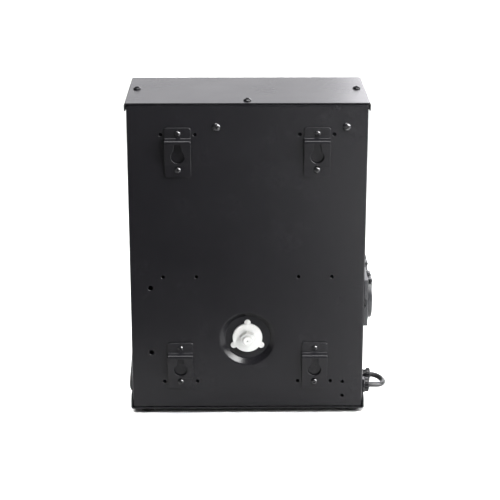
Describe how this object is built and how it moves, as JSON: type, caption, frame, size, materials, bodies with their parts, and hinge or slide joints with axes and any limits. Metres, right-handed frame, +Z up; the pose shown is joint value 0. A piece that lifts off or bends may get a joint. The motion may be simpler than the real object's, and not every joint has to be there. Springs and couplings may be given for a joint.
{
  "type": "fog machine",
  "caption": "Wall-hung fog machine in a slim black steel case: white fog outlet in a pressed dish, keyhole hangers behind, lidded sockets and a linked cable on one side.",
  "frame": {"origin": "on the ground under the middle of the machine without its free lead", "axes": "+Z up; -Y out of the face with the fog outlet and the hangers, which goes against the wall; +X out of the side with the sockets and the cable glands"},
  "size_m": [0.2737, 0.1383, 0.3337],
  "materials": {
    "case_black": "satin black powder coat",
    "screw_black": "black zinc, semi-gloss",
    "rubber": "matt",
    "outlet_white": "satin white heat-proof plastic",
    "socket_grey": "satin dark grey",
    "steel": "bright",
    "gland_black": "satin black nylon",
    "lead_black": "satin rubber sheath",
    "aluminium": "cast",
    "wool": "pressed ceramic fibre, matt",
    "zinc": "zinc plated",
    "tank": "natural polyethylene, milky",
    "cap_black": "ribbed, satin",
    "brass": "bright",
    "tube": "clear silicone",
    "board": "green solder mask",
    "core": "varnished laminations",
    "terminal": "white"
  },
  "bodies": {
    "case": {"case_shell": "case_black", "top_cover": "case_black", "bottom_tray": "case_black", "front_cover": "case_black", "air_hood": "case_black", "hanger_upper_left": "case_black", "hanger_upper_left_top_screw": "screw_black", "hanger_upper_left_foot_screw": "screw_black", "hanger_upper_right": "case_black", "hanger_upper_right_top_screw": "screw_black", "hanger_upper_right_foot_screw": "screw_black", "hanger_lower_left": "case_black", "hanger_lower_left_top_screw": "screw_black", "hanger_lower_left_foot_screw": "screw_black", "hanger_lower_right": "case_black", "hanger_lower_right_top_screw": "screw_black", "hanger_lower_right_foot_screw": "screw_black", "cover_screw_1": "screw_black", "cover_screw_2": "screw_black", "cover_screw_3": "screw_black", "front_screw_1": "screw_black", "panel_screw_1": "screw_black", "front_screw_2": "screw_black", "panel_screw_2": "screw_black", "foot_1": "rubber", "foot_2": "rubber", "foot_3": "rubber", "foot_4": "rubber", "outlet_flange": "outlet_white", "nozzle": "outlet_white", "socket_frame_near": "socket_grey", "lid_pin_near": "steel", "gland_body_near": "gland_black", "gland_nut_near": "gland_black", "lead_tail_near": "lead_black", "socket_frame_far": "socket_grey", "lid_pin_far": "steel", "gland_body_far": "gland_black", "gland_nut_far": "gland_black", "lead_tail_far": "lead_black", "link_lead": "lead_black", "heater_block": "aluminium", "heating_cartridge": "steel", "thermal_cutout": "steel", "insulation_left": "wool", "insulation_right": "wool", "heater_cradle": "zinc", "tank_cradle": "zinc", "fluid_tank": "tank", "tank_cap": "cap_black", "pump": "brass", "suction_tube": "tube", "delivery_tube": "tube", "circuit_board": "board", "transformer": "core", "terminal_block": "terminal"},
    "lid_near": {"socket_lid_near": "socket_grey", "lid_spring_near": "steel"},
    "lid_far": {"socket_lid_far": "socket_grey", "lid_spring_far": "steel"}
  },
  "joints": [
    {"name": "lid_near_hinge", "type": "hinge", "parent": "case", "child": "lid_near", "pos_m": [0.12495, -0.03345, 0.1403], "axis": [0, -1, 0], "range_deg": [0, 100], "stiffness_Nm_per_rad": 0.004, "springref_deg": -51.57},
    {"name": "lid_far_hinge", "type": "hinge", "parent": "case", "child": "lid_far", "pos_m": [0.12495, 0.02455, 0.1403], "axis": [0, -1, 0], "range_deg": [0, 100], "stiffness_Nm_per_rad": 0.004, "springref_deg": -51.57}
  ]
}
